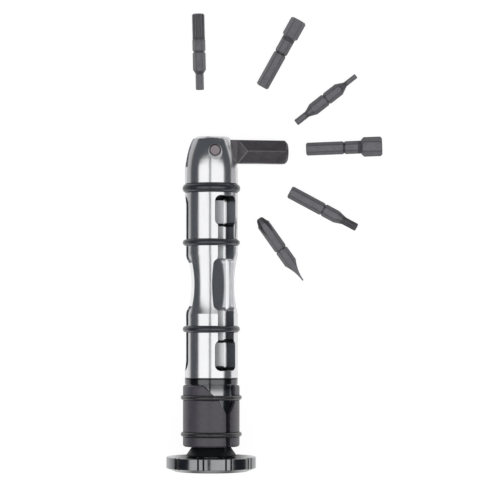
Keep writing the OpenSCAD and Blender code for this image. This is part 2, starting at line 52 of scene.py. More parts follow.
# How the tool lies on the bench, from its joints.
# In upright coordinates the tool stands on its knob, with Z along it and its pivot pin along Y.
JOINTS = {joint["name"]: joint for joint in frame["joints"]}
KNOB_FOOT = Vector(JOINTS["knob_turn"]["pos_m"])
PIVOT = Vector(JOINTS["driver_swing"]["pos_m"])
ALONG_TOOL = Vector(JOINTS["knob_turn"]["axis"]).normalized()
ACROSS_TOOL = ALONG_TOOL.cross(Vector(JOINTS["driver_swing"]["axis"])).normalized()
TURN_TO_UPRIGHT = Matrix((ACROSS_TOOL, ALONG_TOOL.cross(ACROSS_TOOL), ALONG_TOOL))
TURN_TO_BENCH = TURN_TO_UPRIGHT.transposed()
UPRIGHT_TO_BENCH = Matrix.Translation(KNOB_FOOT) @ TURN_TO_BENCH.to_4x4()
BENCH_TO_UPRIGHT = UPRIGHT_TO_BENCH.inverted()
PIVOT_LEVEL = (BENCH_TO_UPRIGHT @ PIVOT).z


def channel_axes(azimuth):
    """Directions out of a bit channel and across it, in upright coordinates."""
    out = Vector((math.sin(azimuth), -math.cos(azimuth), 0.0))
    across = Vector((math.cos(azimuth), math.sin(azimuth), 0.0))
    return out, across


# The barrel's three bit channels, each with a scoop; the first also has the two pockets.
FIRST_AZIMUTH = 27.0
CHANNELS = [channel_axes(math.radians(FIRST_AZIMUTH + turn)) for turn in (0, 120, -120)]
CHANNEL_HALF_W = 4.6 * MM
CHANNEL_ENDS = (34.6 * MM, 94.6 * MM)
CHANNEL_FLOOR = 3.9 * MM
SCOOP_ENDS = (55.0 * MM, 73.2 * MM)
POCKET_HALF_W = 4.35 * MM
POCKET_FLOOR = 2.95 * MM


# Node trees

def add(tree, kind, inputs=None, **settings):
    """A new node, with each input either linked to a socket or set to a value."""
    made = tree.nodes.new(kind)
    for name, value in settings.items():
        setattr(made, name, value)
    for key, value in (inputs or {}).items():
        if isinstance(value, bpy.types.NodeSocket):
            tree.links.new(value, made.inputs[key])
        else:
            made.inputs[key].default_value = value
    return made


def new_finish(name, **sockets):
    """A new material with values on its shader's sockets, named with _ for each space."""
    material = bpy.data.materials.new(name)
    material.use_nodes = True
    tree = material.node_tree
    shader = tree.nodes["Principled BSDF"]
    for key, value in sockets.items():
        shader.inputs[key.replace("_", " ")].default_value = value
    return material, tree, shader


def wire(tree, shader, **sources):
    """Links sources to the shader's sockets, named with _ for each space."""
    for key, source in sources.items():
        tree.links.new(source, shader.inputs[key.replace("_", " ")])


def bench_coords(tree):
    return add(tree, "ShaderNodeTexCoord").outputs["Object"]


def own_coords(tree, to_own):
    """Coordinates that a piece is drawn in, by the matrix from the bench to them."""
    return add(tree, "ShaderNodeMapping", {
        "Vector": bench_coords(tree),
        "Location": to_own.to_translation(),
        "Rotation": to_own.to_euler("XYZ"),
    }).outputs["Vector"]


def upright_coords(tree):
    return own_coords(tree, BENCH_TO_UPRIGHT)


def axis_value(tree, coords, axis):
    return add(tree, "ShaderNodeSeparateXYZ", {"Vector": coords}).outputs[axis]


def stretched(tree, coords, scale):
    return add(tree, "ShaderNodeVectorMath", {0: coords, 1: scale}, operation="MULTIPLY").outputs["Vector"]


def length(tree, coords):
    return add(tree, "ShaderNodeVectorMath", {0: coords}, operation="LENGTH").outputs["Value"]


def noise(tree, coords, scale, detail=3.0, roughness=0.55):
    return add(tree, "ShaderNodeTexNoise", {
        "Vector": coords, "Scale": scale, "Detail": detail, "Roughness": roughness,
    }).outputs["Fac"]


def spread(tree, value, low, high, to_low, to_high, curve="LINEAR"):
    return add(tree, "ShaderNodeMapRange", {
        "Value": value, "From Min": low, "From Max": high, "To Min": to_low, "To Max": to_high,
    }, interpolation_type=curve).outputs["Result"]


def faded(tree, value, none_at, full_at, full=1.0):
    """Nought at one value, rising softly to its full amount at another."""
    return spread(tree, value, none_at, full_at, 0.0, full, "SMOOTHSTEP")


# Nearly all of a noise pattern lies between these.
NOISE_LOW = 0.3
NOISE_HIGH = 0.7


def varied(tree, pattern, to_low, to_high):
    """A noise pattern made to run between two values."""
    return spread(tree, pattern, NOISE_LOW, NOISE_HIGH, to_low, to_high)


def combined(tree, operation, first, second=0.0):
    return add(tree, "ShaderNodeMath", {0: first, 1: second}, operation=operation).outputs[0]


def added(tree, first, second):
    return combined(tree, "ADD", first, second)


def times(tree, first, second):
    return combined(tree, "MULTIPLY", first, second)


def off_from(tree, value, middle):
    """How far a value is from a middle one."""
    return combined(tree, "ABSOLUTE", combined(tree, "SUBTRACT", value, middle))


def blended(tree, amount, first, second):
    """From the first colour to the second, each a socket or three numbers."""
    made = add(tree, "ShaderNodeMix", data_type="RGBA")
    tree.links.new(amount, made.inputs["Factor"])
    for socket, value in zip((made.inputs[6], made.inputs[7]), (first, second)):
        if isinstance(value, bpy.types.NodeSocket):
            tree.links.new(value, socket)
        else:
            socket.default_value = (*value, 1.0)
    return made.outputs[2]


def bumped(tree, height, strength, distance):
    return add(tree, "ShaderNodeBump", {
        "Height": height, "Strength": strength, "Distance": distance,
    }).outputs["Normal"]


def level_band(tree, level, start, full, still_full, end):
    """One between two levels, falling to nought on both sides."""
    return times(tree, faded(tree, level, start, full), faded(tree, level, end, still_full))


def pocket_side(tree, place):
    """One on the side of the barrel that has the pockets, and nought on its other sides."""
    out, _ = CHANNELS[0]
    height = add(tree, "ShaderNodeVectorMath", {0: place, 1: out}, operation="DOT_PRODUCT").outputs["Value"]
    return spread(tree, height, low=2.0 * MM, high=2.6 * MM, to_low=0.0, to_high=1.0)


def with_painted_bands(tree, colour, place, painted_bands, pocket_only=False):
    """The colour with bands of painted light and shade over it, each of a colour and four levels in mm, as
    level_band takes them.
    """
    for tone, levels in painted_bands:
        amount = level_band(tree, axis_value(tree, place, "Z"), *(level * MM for level in levels))
        if pocket_only:
            amount = times(tree, amount, pocket_side(tree, place))
        colour = blended(tree, amount, colour, tone)
    return colour


def worn_edges(tree):
    """One on the eased edges of a piece."""
    return add(tree, "ShaderNodeAttribute", attribute_name="edge").outputs["Fac"]


def rubbed_edges(tree, patches, least, most):
    """How far the eased edges have rubbed bright, which differs from patch to patch."""
    rubbed = spread(tree, patches, low=0.35, high=0.6, to_low=least, to_high=most)
    return times(tree, worn_edges(tree), rubbed)


# Finishes

POLISHED_DARK = (0.83, 0.83, 0.85)
POLISHED_LIGHT = (0.88, 0.88, 0.90)
POLISHED_EDGE = tuple(value * 1.04 for value in POLISHED_LIGHT)
POLISHED_ROUGH = 0.15


def turned_aluminium(name, pocket_painted_bands=()):
    """Bright turned metal: fine lathe lines round the tool, a faint haze, brighter edges, and any bands of painted
    shade given for the pocket side.
    """
    material, tree, shader = new_finish(name, Metallic=0.91)
    place = upright_coords(tree)
    close_along = stretched(tree, place, (40.0, 40.0, 7000.0))
    lines = noise(tree, close_along, scale=1.0, detail=4.0, roughness=0.7)
    haze = noise(tree, stretched(tree, place, (1.0, 1.0, 0.35)), scale=320.0, detail=4.0)
    colour = blended(tree, varied(tree, haze, 0.0, 1.0), POLISHED_DARK, POLISHED_LIGHT)
    colour = blended(tree, worn_edges(tree), colour, POLISHED_EDGE)
    hazed = varied(tree, haze, POLISHED_ROUGH - 0.015, POLISHED_ROUGH + 0.025)
    # The base colour takes the bands of painted shade given for the pocket side.
    wire(tree, shader,
         Base_Color=with_painted_bands(tree, colour, place, pocket_painted_bands, pocket_only=True),
         Roughness=added(tree, hazed, varied(tree, lines, 0.0, 0.04)),
         Normal=bumped(tree, lines, strength=0.05, distance=0.02 * MM))
    return material


# Cutter marks: how fast their rows follow each other, in radians for each metre, and how far they waver
ROW_RATE = 15000.0
ROW_WAVER = 6.0


def milled_aluminium(name, dark, light, rough, metallic, pocket_painted_bands=()):
    """Milled metal: wavering rows of cutter marks across the cut, and any bands of painted light and shade given
    for the pocket side.
    """
    material, tree, shader = new_finish(name, Metallic=metallic)
    place = upright_coords(tree)
    waver = times(tree, noise(tree, place, scale=300.0, detail=2.0), ROW_WAVER)
    rows = times(tree, axis_value(tree, place, "Z"), ROW_RATE)
    marks = combined(tree, "SINE", added(tree, rows, waver))
    marked = spread(tree, marks, low=-1.0, high=1.0, to_low=0.0, to_high=0.35)
    grain = noise(tree, place, scale=2600.0)
    colour = blended(tree, added(tree, marked, varied(tree, grain, 0.0, 0.65)), dark, light)
    # The base colour takes the bands of painted light and shade given for the pocket side.
    wire(tree, shader,
         Base_Color=with_painted_bands(tree, colour, place, pocket_painted_bands, pocket_only=True),
         Roughness=varied(tree, grain, rough - 0.05, rough + 0.05),
         Normal=bumped(tree, marks, strength=0.12, distance=0.03 * MM))
    return material


# Painted shade: the dark colour laid along the bits' corners, in their flutes and round their necks and ring
# grooves.
PAINTED_SHADE_COLOUR = (0.050, 0.050, 0.055)


def oxide_steel(name, dark, light, worn, rough, metallic, painted_shade_amount=None):
    """Blackened steel: mottled, brighter where its edges have rubbed, and darker where shade is painted on it."""
    material, tree, shader = new_finish(name, Metallic=metallic)
    place = bench_coords(tree)
    mottle = noise(tree, place, scale=420.0, detail=5.0)
    grain = noise(tree, place, scale=5200.0, detail=2.0)
    speckle = noise(tree, place, scale=1900.0, detail=2.0, roughness=0.7)
    patches = spread(tree, mottle, low=0.32, high=0.68, to_low=0.0, to_high=0.5)
    spots = spread(tree, speckle, low=0.32, high=0.68, to_low=0.0, to_high=0.5)
    colour = blended(tree, added(tree, patches, spots), dark, light)
    colour = blended(tree, rubbed_edges(tree, mottle, 0.4, 0.9), colour, worn)
    # Painted shade laid over the steel, broken up by the mottle.
    if painted_shade_amount:
        colour = blended(tree, times(tree, painted_shade_amount(tree), varied(tree, mottle, 0.7, 1.0)), colour, PAINTED_SHADE_COLOUR)
    wire(tree, shader,
         Base_Color=colour,
         Roughness=varied(tree, mottle, rough - 0.06, rough + 0.08),
         Normal=bumped(tree, grain, strength=0.12, distance=0.03 * MM))
    return material


BIT_LEN = 26.5 * MM
BIT_AF = 4.0 * MM
BIT_HEAD_LEN = 7.3 * MM
BIT_SIDES = 6
LOBE_RUN_IN = 0.2 * MM
# How deep the painted shade is along a bit's corners and in the flutes of a six-lobe end
CORNER_PAINTED_SHADE = 0.28
LOBE_FLUTE_PAINTED_SHADE = 0.62
# Depths from a bit's ends between which its painted shade starts, and the share of a neck that is darkest
PAINTED_SHADE_STARTS = (0.05 * MM, 0.3 * MM)
NECK_CORE = 0.4


def bit_painted_shade(to_own, necks, lobes_from):
    """Painted shade of a bit: along its corners, in the flutes of a six-lobe end, and round its necks.

    A neck has a level along the bit and a half width, both in mm, and a depth of tone."""
    def amount(tree):
        place = add(tree, "ShaderNodeSeparateXYZ", {"Vector": own_coords(tree, to_own)}).outputs
        level = place["Z"]
        turn = combined(tree, "ARCTAN2", place["Y"], place["X"])
        ripple = combined(tree, "COSINE", times(tree, turn, BIT_SIDES))
        corners = faded(tree, ripple, none_at=0.5, full_at=0.97, full=CORNER_PAINTED_SHADE)
        flutes = faded(tree, ripple, none_at=0.3, full_at=-0.7, full=LOBE_FLUTE_PAINTED_SHADE)
        lobed = spread(tree, level, lobes_from, lobes_from + LOBE_RUN_IN, 0.0, 1.0)
        unlobed = combined(tree, "SUBTRACT", 1.0, lobed)
        total = added(tree, times(tree, corners, unlobed), times(tree, flutes, lobed))
        from_end = combined(tree, "SUBTRACT", BIT_LEN / 2, off_from(tree, level, BIT_LEN / 2))
        total = times(tree, total, spread(tree, from_end, *PAINTED_SHADE_STARTS, 0.0, 1.0))
        for middle, half, depth in necks:
            off_neck = off_from(tree, level, middle * MM)
            neck = faded(tree, off_neck, none_at=half * MM, full_at=NECK_CORE * half * MM, full=depth)
            total = combined(tree, "MAXIMUM", total, neck)
        return total
    return amount


def moulded_black(name, dark, light, rough, specular, grain_scale, grain_height):
    """Black plastic or rubber: cloudy and speckled, with a fine grain."""
    material, tree, shader = new_finish(name, Specular_IOR_Level=specular)
    place = bench_coords(tree)
    cloud = noise(tree, place, scale=300.0, detail=4.0)
    grain = noise(tree, place, scale=grain_scale)
    speckle = noise(tree, place, scale=1700.0, detail=2.0, roughness=0.7)
    shade = added(tree, varied(tree, cloud, 0.0, 0.45), varied(tree, speckle, 0.0, 0.55))
    wire(tree, shader,
         Base_Color=blended(tree, shade, dark, light),
         Roughness=varied(tree, cloud, rough - 0.05, rough + 0.05),
         Normal=bumped(tree, grain, strength=0.3, distance=grain_height))
    return material


def black_anodised(name, dark, light, worn, rough, painted_bands=()):
    """Turned metal under a black glossy skin, with faint turning lines, rubbed edges and any bands of painted
    highlight and shade given along the tool.
    """
    material, tree, shader = new_finish(name, Metallic=1.0)
    place = upright_coords(tree)
    cloud = noise(tree, place, scale=240.0, detail=4.0)
    off_axis = length(tree, stretched(tree, place, (1.0, 1.0, 0.0)))
    turned = add(tree, "ShaderNodeCombineXYZ", {"X": off_axis, "Y": axis_value(tree, place, "Z")})
    lines = noise(tree, turned.outputs["Vector"], scale=5000.0)
    colour = blended(tree, varied(tree, cloud, 0.0, 1.0), dark, light)
    # Bands of painted highlight and shade along the tool.
    colour = with_painted_bands(tree, colour, place, painted_bands)
    clouded = varied(tree, cloud, rough - 0.03, rough + 0.03)
    wire(tree, shader,
         Base_Color=blended(tree, rubbed_edges(tree, cloud, 0.3, 0.8), colour, worn),
         Roughness=added(tree, clouded, varied(tree, lines, 0.0, 0.05)),
         Normal=bumped(tree, lines, strength=0.06, distance=0.02 * MM))
    return material


def painted_countersink(name, dark, bright, dark_radius, bright_radius):
    """Cone round the pin, painted near white as a highlight, with painted shade for the dark gap at its foot."""
    material, tree, shader = new_finish(name, Metallic=0.1)
    place = add(tree, "ShaderNodeVectorMath", {
        0: upright_coords(tree), 1: (0.0, 0.0, PIVOT_LEVEL),
    }, operation="SUBTRACT").outputs["Vector"]
    off_axis = length(tree, stretched(tree, place, (1.0, 0.0, 1.0)))
    grain = noise(tree, place, scale=2600.0)
    ragged = added(tree, off_axis, varied(tree, grain, -0.03 * MM, 0.03 * MM))
    wire(tree, shader,
         Base_Color=blended(tree, faded(tree, ragged, dark_radius, bright_radius), dark, bright),
         Roughness=varied(tree, grain, 0.25, 0.35))
    return material


def plain_steel(name, light, rough):
    """Bare or plated metal with faint stains."""
    material, tree, shader = new_finish(name, Metallic=1.0)
    place = bench_coords(tree)
    stain = noise(tree, place, scale=900.0, detail=4.0)
    stained = tuple(value * 0.75 for value in light)
    wire(tree, shader,
         Base_Color=blended(tree, varied(tree, stain, 0.0, 1.0), stained, light),
         Roughness=varied(tree, stain, rough - 0.05, rough + 0.1),
         Normal=bumped(tree, noise(tree, place, scale=4000.0), strength=0.1, distance=0.03 * MM))
    return material


# Painted shade: near-black bands at the ends of the pockets, where shade falls in the corners, laid on the walls
# and rounds.
POCKET_SHADE = (0.02, 0.02, 0.023)
POCKET_END_PAINTED_SHADE = (
    (POCKET_SHADE, (92.2, 93.2, 95.0, 95.4)),
    (POCKET_SHADE, (83.8, 84.1, 85.0, 85.6)),
    (POCKET_SHADE, (43.9, 44.3, 45.2, 45.5)),
    (POCKET_SHADE, (33.8, 34.2, 35.4, 36.2)),
)
# Painted light: the walls of the upper pocket are painted lighter than the other walls.
UPPER_POCKET_PAINTED_LIGHT = ((0.30, 0.31, 0.345), (83.5, 85.5, 93.0, 94.5))
CUT_FLOOR = milled_aluminium(
    "milled floor", dark=(0.84, 0.86, 0.87), light=(0.94, 0.96, 0.97), rough=0.34, metallic=0.6)
# Painted shade: the channel walls are painted dark, far darker than the metal they are cut in, to stand for the
# shade on them.
CUT_WALL_PAINTED_SHADE = milled_aluminium(
    "milled wall with painted shade", dark=(0.145, 0.153, 0.174), light=(0.22, 0.232, 0.26), rough=0.36, metallic=1.0,
    pocket_painted_bands=(UPPER_POCKET_PAINTED_LIGHT, *POCKET_END_PAINTED_SHADE))
# The rounds carry the painted shade at the pocket ends.
CUT_ROUND = turned_aluminium("milled round", POCKET_END_PAINTED_SHADE)
# Painted highlight on the countersink cone, and painted shade in the gap at its foot.
COUNTERSINK_PAINTED_LIGHT_AND_SHADE = painted_countersink(
    "countersink painted highlight and shade", dark=(0.012, 0.012, 0.014), bright=(0.95, 0.95, 0.96),
    dark_radius=2.0 * MM, bright_radius=2.1 * MM)
# Painted shade: near black for the shade in the knob's grip grooves.
GROOVE_PAINTED_SHADE = moulded_black(
    "groove painted shade", dark=(0.010, 0.010, 0.012), light=(0.018, 0.018, 0.021),
    rough=0.5, specular=0.3, grain_scale=2600.0, grain_height=0.02 * MM)
# Painted shade: darker steel for the shade in the flutes of the cross point.
CROSS_FLUTE_PAINTED_SHADE = oxide_steel(
    "cross flute painted shade", dark=(0.050, 0.049, 0.054), light=(0.085, 0.084, 0.092), worn=(0.30, 0.30, 0.31),
    rough=0.45, metallic=0.5)

# The finish of each material slot, apart from the bits', which each have their own
FINISHES = {
    "polished_aluminium": turned_aluminium("polished aluminium"),
    "pin_steel": plain_steel("pin steel", light=(0.36, 0.315, 0.335), rough=0.42),
    "black_rubber": moulded_black(
        "ring rubber", dark=(0.033, 0.034, 0.045), light=(0.052, 0.053, 0.069),
        rough=0.22, specular=1.0, grain_scale=7000.0, grain_height=0.01 * MM),
    "black_anodised": black_anodised(
        "black anodised", dark=(0.26, 0.262, 0.27), light=(0.31, 0.312, 0.32), worn=(0.40, 0.40, 0.41),
        rough=0.12),
    "matte_black": moulded_black(
        "sleeve plastic", dark=(0.062, 0.057, 0.072), light=(0.112, 0.103, 0.127),
        rough=0.40, specular=0.7, grain_scale=2600.0, grain_height=0.06 * MM),
    "dark_steel": oxide_steel(
        "driver steel", dark=(0.103, 0.097, 0.104), light=(0.165, 0.155, 0.166), worn=(0.36, 0.345, 0.36),
        rough=0.38, metallic=0.45),
    "plain_steel": plain_steel("zinc steel", light=(0.62, 0.62, 0.63), rough=0.3),
    "magnet_nickel": plain_steel("magnet nickel", light=(0.70, 0.68, 0.64), rough=0.2),
}

# Nodes whose finish differs from that of their slot
# One pale colour for the collar's rubbed edges and for a painted highlight on its foot.
COLLAR_WORN_AND_HIGHLIGHT = (0.46, 0.46, 0.475)
COLLAR_FOOT_PAINTED_HIGHLIGHT = (COLLAR_WORN_AND_HIGHLIGHT, (29.0, 26.6, 25.2, 24.3))
# Painted shade: a near-black line round the collar's top, where it meets the barrel.
COLLAR_TOP_PAINTED_SHADE = (POCKET_SHADE, (31.45, 31.7, 32.2, 32.4))
SLEEVE_RING_BLACK = moulded_black(
    "sleeve ring rubber", dark=(0.034, 0.033, 0.038), light=(0.050, 0.048, 0.056),
    rough=0.27, specular=0.9, grain_scale=7000.0, grain_height=0.01 * MM)
OWN_FINISHES = {
    "wedge_collar": black_anodised(
        "black collar", dark=(0.115, 0.116, 0.124), light=(0.138, 0.139, 0.148), worn=COLLAR_WORN_AND_HIGHLIGHT,
        rough=0.13, painted_bands=(COLLAR_FOOT_PAINTED_HIGHLIGHT, COLLAR_TOP_PAINTED_SHADE)),
    "expander_cone": moulded_black(
        "black cone", dark=(0.008, 0.009, 0.012), light=(0.014, 0.015, 0.019),
        rough=0.5, specular=0.3, grain_scale=2600.0, grain_height=0.02 * MM),
    "upper_sleeve_ring": SLEEVE_RING_BLACK,
    "lower_sleeve_ring": SLEEVE_RING_BLACK,
}


def bit_lie(near_end, heading, head_af):
    """Matrix from a bit that stands on its near end to where it lies; a wide head lifts its far end."""
    across, along = near_end
    rise = math.atan2((head_af - BIT_AF) / 2, BIT_LEN - BIT_HEAD_LEN)
    return (
        Matrix.Translation((PIVOT.x + across * MM, PIVOT.y + along * MM, BIT_AF / 2 * math.cos(rise)))
        @ Matrix.Rotation(math.radians(heading), 4, "Z")
        @ Matrix.Rotation(math.pi / 2 - rise, 4, "Y")
        @ Matrix.Rotation(math.pi / 6, 4, "Z")
    )


# Near end of each bit from the pivot in mm, its heading in degrees and its size across its head's flats
BIT_LIES = {
    "bit_six_lobe_and_small_hex": bit_lie((-4.1, 21.5), 91.3, BIT_AF),
    "bit_hex_5": bit_lie((17.5, 22.6), 60.9, 5.0 * MM),
    "bit_slim_hex": bit_lie((29.4, 10.1), 38.0, BIT_AF),
    "bit_hex_6": bit_lie((32.9, 0.9), 2.2, 6.0 * MM),
    "bit_hex_and_six_lobe": bit_lie((27.2, -13.9), -28.2, BIT_AF),
    "bit_cross_and_blade": bit_lie((16.5, -23.2), -54.7, BIT_AF),
}

# Where the lobes of each bit start, and its necks, for the painted shade of each bit
NO_LOBES = 2 * BIT_LEN
RING_GROOVE = (13.25, 0.6, 0.35)
WIDE_RING_GROOVE = (13.25, 0.65, 0.8)
HEAD_NECK = (18.7, 0.95, 0.9)
BIT_MARKS = {
    "bit_six_lobe_and_small_hex": (17.5 * MM, (RING_GROOVE, (17.6, 1.0, 0.45), (6.0, 0.9, 0.5))),
    "bit_hex_5": (NO_LOBES, (WIDE_RING_GROOVE, HEAD_NECK)),
    "bit_slim_hex": (NO_LOBES, (RING_GROOVE, (4.6, 0.9, 0.6), (21.9, 0.9, 0.6))),
    "bit_hex_6": (NO_LOBES, (WIDE_RING_GROOVE, HEAD_NECK)),
    "bit_hex_and_six_lobe": (21.3 * MM, (RING_GROOVE, (21.1, 1.0, 0.7), (24.0, 2.5, 0.4))),
    "bit_cross_and_blade": (NO_LOBES, (RING_GROOVE,)),
}
# Each bit's steel, with its painted shade.
for node, (lobes_from, necks) in BIT_MARKS.items():
    OWN_FINISHES[node] = oxide_steel(
        node.replace("_", " ") + " steel", dark=(0.160, 0.159, 0.174), light=(0.255, 0.254, 0.275),
        worn=(0.27, 0.27, 0.285), rough=0.45, metallic=0.5,
        painted_shade_amount=bit_painted_shade(BIT_LIES[node].inverted(), necks, lobes_from))


def finish_of(node):
    return OWN_FINISHES[node] if node in OWN_FINISHES else FINISHES[SLOT_OF[node]]


# Pieces

def stand_in(name, mesh, node):
    """A finished piece in the place of a CAD node."""
    piece = bpy.data.objects.new(name, mesh)
    bpy.context.collection.objects.link(piece)
    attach(piece, BODY_OF[node])
    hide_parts(node)
    return piece


def evaluated_mesh(piece):
    """The piece's mesh with its modifiers done; the piece itself is taken away."""
    graph = bpy.context.evaluated_depsgraph_get()
    mesh = bpy.data.meshes.new_from_object(piece.evaluated_get(graph))
    rough = piece.data
    bpy.data.objects.remove(piece)
    bpy.data.meshes.remove(rough)
    return mesh


# Least share of its normal that a floor, a round and a face with hollow shading have out of their channel
FLOOR_OUTWARD = 0.97
ROUND_OUTWARD = 0.5
HOLLOW_OUTWARD = 0.05
# Most that a wall and the side of a scoop have out of it, least that the side has across it,
# and most that any of these faces has along the tool
WALL_OUTWARD = 0.55
SCOOP_SIDE_OUTWARD = 0.3
SCOOP_SIDE_ACROSS = 0.9
CUT_ALONG = 0.9


def split_floors(shape):
    """Cuts the channel floors across where the scoops end, so that each length can have its own finish."""
    slack = 0.05 * MM
    for level in SCOOP_ENDS:
        floors = []
        for face in shape.faces:
            spot = BENCH_TO_UPRIGHT @ face.calc_center_median()
            normal = TURN_TO_UPRIGHT @ face.normal
            for out, _ in CHANNELS:
                if abs(spot.dot(out) - CHANNEL_FLOOR) < slack and normal.dot(out) > FLOOR_OUTWARD:
                    floors.append(face)
        edges = {edge for face in floors for edge in face.edges}
        corners = {corner for face in floors for corner in face.verts}
        bmesh.ops.bisect_plane(
            shape, geom=[*corners, *edges, *floors], dist=1e-7,
            plane_co=UPRIGHT_TO_BENCH @ Vector((0, 0, level)), plane_no=ALONG_TOOL)


SHARP_ANGLE = math.radians(28.0)
SHORTEST_RUN = 1.2 * MM
ROOM_FOR_WIDTH = 1.5


def mark_edges(shape, width):
    """Marks the sharp edges that have room on both sides to be rounded, apart from short lone runs."""
    weight = shape.edges.layers.float.new("bevel_weight_edge")
    room = ROOM_FOR_WIDTH * width
    sharp = {edge for edge in shape.edges if edge.calc_face_angle(0.0) > SHARP_ANGLE}
    cramped = set()
    for edge in sharp:
        start, end = (vertex.co for vertex in edge.verts)
        along = (end - start).normalized()
        for face in edge.link_faces:
            reaches = [vertex.co - start for vertex in face.verts]
            if max((reach - along * reach.dot(along)).length for reach in reaches) < room:
                cramped.update(edge.verts)
    for vertex in {vertex for edge in sharp for vertex in edge.verts}:
        if any(edge not in sharp and edge.calc_length() < room for edge in vertex.link_edges):
            cramped.add(vertex)
    free = {edge for edge in sharp if not cramped.intersection(edge.verts)}
    while free:
        run = [free.pop()]
        for edge in run:
            joined = {other for vertex in edge.verts for other in vertex.link_edges if other in free}
            free -= joined
            run.extend(joined)
        if sum(edge.calc_length() for edge in run) > SHORTEST_RUN:
            for edge in run:
                edge[weight] = 1.0


# How far into its face a corner's normal is looked up, and how near it has to be to the face's own
LOOK_INWARD = 0.03
LIKE_FACE = 0.8


def true_normals(done, source, rounded):
    """Shades a finished mesh with the exact normals of the mesh that it was made from."""
    source.calc_loop_triangles()
    triangles = source.loop_triangles
    spots = [vertex.co for vertex in source.vertices]
    corners = [tuple(triangle.vertices) for triangle in triangles]
    facing = [tuple(source.corner_normals[loop].vector for loop in triangle.loops) for triangle in triangles]
    skin = BVHTree.FromPolygons(spots, corners)
    normals = [None] * len(done.loops)
    surface_normal = {}
    for face in done.polygons:
        if rounded[face.index]:
            continue
        for loop in face.loop_indices:
            index = done.loops[loop].vertex_index
            spot = done.vertices[index].co.lerp(face.center, LOOK_INWARD)
            nearest, _, found, _ = skin.find_nearest(spot)
            triangle = (spots[corner] for corner in corners[found])
            normal = barycentric_transform(nearest, *triangle, *facing[found]).normalized()
            if normal.dot(face.normal) < LIKE_FACE:
                normal = face.normal.copy()
            normals[loop] = normal
            surface_normal.setdefault(index, normal)
    for face in done.polygons:
        if rounded[face.index]:
            for loop in face.loop_indices:
                index = done.loops[loop].vertex_index
                normals[loop] = surface_normal.get(index, done.vertices[index].normal)
    done.normals_split_custom_set(normals)


FLAT_ANGLE = math.radians(0.3)
MERGE_WITHIN = 0.001 * MM
# Material slots that tell a piece's surface from its rounded edges while it is made
SURFACE_SLOT = 0
EDGE_SLOT = 1
# Share of an edge's width past which a rounded corner has strayed from the surface
STRAYED = 0.6


def eased(node, width):
    """A copy of a CAD node's mesh with its sharp edges rounded, and an attribute that marks them."""
    source = nodes[node].data
    mesh = bpy.data.meshes.new(node + " rough")
    shape = bmesh.new()
    shape.from_mesh(source)
    bmesh.ops.remove_doubles(shape, verts=shape.verts, dist=MERGE_WITHIN)
    bmesh.ops.dissolve_limit(shape, angle_limit=FLAT_ANGLE, verts=shape.verts, edges=shape.edges)
    if node == "handle_barrel":
        split_floors(shape)
    for face in shape.faces:
        face.smooth = True
        face.material_index = SURFACE_SLOT
    mark_edges(shape, width)
    shape.to_mesh(mesh)
    skin = BVHTree.FromBMesh(shape)
    shape.free()
    finish = finish_of(node)
    for _ in (SURFACE_SLOT, EDGE_SLOT):
        mesh.materials.append(finish)
    piece = bpy.data.objects.new(node + " rough", mesh)
    bpy.context.collection.objects.link(piece)
    bevel = piece.modifiers.new("eased edges", "BEVEL")
    bevel.width = width
    bevel.segments = 2
    bevel.limit_method = "WEIGHT"
    bevel.use_clamp_overlap = False
    bevel.material = EDGE_SLOT
    done = evaluated_mesh(piece)
    for vertex in done.vertices:
        nearest, _, _, gap = skin.find_nearest(vertex.co)
        if gap > STRAYED * width:
            vertex.co = nearest
    rounded = [face.material_index == EDGE_SLOT for face in done.polygons]
    worn = done.attributes.new("edge", "FLOAT", "FACE")
    worn.data.foreach_set("value", [float(mark) for mark in rounded])
    done.polygons.foreach_set("material_index", [SURFACE_SLOT] * len(done.polygons))
    done.materials.clear()
    done.materials.append(finish)
    true_normals(done, source, rounded)
    return done


# The piece that stands for each node, and the width of its rounded edges in mm
EASED = {
    "handle_barrel": ("barrel", 0.12),
    "pivot_pin": ("head_pin", 0.1),
    "wedge_collar": ("black_collar", 0.1),
    "expander_sleeve": ("split_sleeve", 0.15),
    "driver": ("hexagon_driver", 0.16),
    "expander_cone": ("lower_cone", 0.1),
    "knob": ("grip_knob", 0.1),
    "bit_six_lobe_and_small_hex": ("six_lobe_bit", 0.07),
    "bit_hex_5": ("hexagon_bit_5", 0.1),
    "bit_slim_hex": ("slim_hexagon_bit", 0.06),
    "bit_hex_6": ("hexagon_bit_6", 0.1),
    "bit_hex_and_six_lobe": ("small_six_lobe_bit", 0.07),
    "bit_cross_and_blade": ("cross_and_blade_bit", 0.06),
}
PIECES = {node: stand_in(name, eased(node, width * MM), node) for node, (name, width) in EASED.items()}


def add_finish(mesh, finish):
    """Adds a finish to a mesh, and gives its number there."""
    mesh.materials.append(finish)
    return len(mesh.materials) - 1


def upright_faces(mesh):
    """Each face of a mesh, with its middle and its normal in upright coordinates."""
    for face in mesh.polygons:
        yield face, BENCH_TO_UPRIGHT @ face.center, TURN_TO_UPRIGHT @ face.normal


# How far the floors above and below the scoops are shaded as hollow, and one side of each scoop as flared
UPPER_HOLLOW = 0.17
LOWER_HOLLOW = 0.26
SCOOP_FLARE = 0.24
HOLLOW_HALF_W = 3.0 * MM
# Heights of the cuts over the tool's axis: below all of them, above their floors and above their rounds
CUTS_FROM = 2.5 * MM
FLOORS_TO = 4.0 * MM
ROUNDS_TO = 5.4 * MM
# The walls end at this radius, just under the barrel's skin.
WALLS_TO = 8.95 * MM


def in_channel_length(spot, normal):
    """True for a face between the ends of the channels that isn't one of their end walls."""
    slack = 0.1 * MM
    return CHANNEL_ENDS[0] - slack < spot.z < CHANNEL_ENDS[1] + slack and abs(normal.z) <= CUT_ALONG


